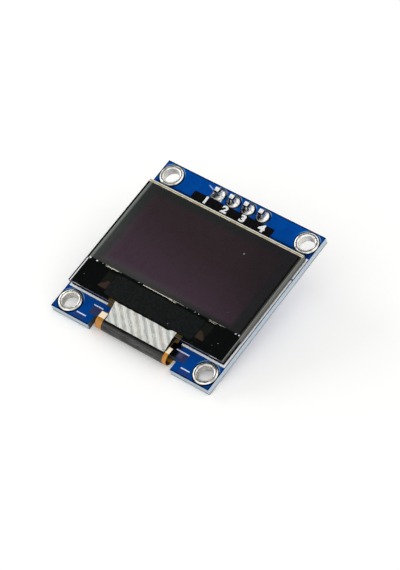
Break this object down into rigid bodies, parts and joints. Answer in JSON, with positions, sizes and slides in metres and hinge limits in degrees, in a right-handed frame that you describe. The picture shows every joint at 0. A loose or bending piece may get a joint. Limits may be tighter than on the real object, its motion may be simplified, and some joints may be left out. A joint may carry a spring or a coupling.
{
  "type": "small oled module",
  "caption": "Square blue carrier board with a glass display panel, its flex looped through an edge notch to the back, and a soldered pin header below.",
  "frame": {"origin": "middle of the four mounting holes, on the circuit board's back face", "axes": "+Z out of the screen, +Y towards the pin header edge, +X to the right as the screen is read"},
  "size_m": [0.0274, 0.0278, 0.0116],
  "materials": {
    "board": "blue solder mask on pale glass-fibre board, satin gloss",
    "tinned": "bright tin-lead solder finish",
    "solder": "bright solder, slightly uneven",
    "moulding": "black moulded header plastic",
    "pin": "gold-flashed square pins",
    "adhesive": "white double-sided adhesive sheet",
    "rear_glass": "dark rear glass",
    "front_glass": "clear front glass, dark behind",
    "polariser": "dark polariser film, faint purple-brown over the lit area",
    "silicon": "bare silicon, mirror-like and dark",
    "black_tape": "blue-black tape, low gloss",
    "foam": "black foam",
    "polyimide": "amber polyimide, glossy",
    "cover_film": "gloss black cover film",
    "silver_film": "silvery white ribbed film",
    "package": "black moulding compound",
    "lead": "matt tinned leads",
    "ceramic_tan": "tan ceramic with tinned ends",
    "resistor": "black glaze on white ceramic, tinned ends"
  },
  "bodies": {
    "root": {"circuit_board": "board", "mounting_ring_1": "tinned", "mounting_ring_2": "tinned", "mounting_ring_3": "tinned", "mounting_ring_4": "tinned", "header_pad_1": "tinned", "header_pad_2": "tinned", "header_pad_3": "tinned", "header_pad_4": "tinned", "header_moulding": "moulding", "header_pin_1": "pin", "header_pin_2": "pin", "header_pin_3": "pin", "header_pin_4": "pin", "solder_joint_1": "solder", "solder_joint_2": "solder", "solder_joint_3": "solder", "solder_joint_4": "solder", "adhesive_sheet": "adhesive", "rear_glass": "rear_glass", "front_glass": "front_glass", "polariser": "polariser", "driver_chip": "silicon", "black_tape": "black_tape", "foam_pad_left": "foam", "foam_pad_right": "foam", "display_flex": "polyimide", "flex_cover_film": "cover_film", "silver_film": "silver_film", "flex_solder_row": "solder", "regulator_body": "package", "regulator_leads": "lead", "capacitor_1": "ceramic_tan", "capacitor_2": "ceramic_tan", "capacitor_3": "ceramic_tan", "capacitor_4": "ceramic_tan", "capacitor_5": "ceramic_tan", "capacitor_6": "ceramic_tan", "resistor_1": "resistor", "resistor_2": "resistor", "resistor_3": "resistor", "resistor_4": "resistor", "resistor_5": "resistor", "component_solder": "solder"}
  },
  "joints": []
}
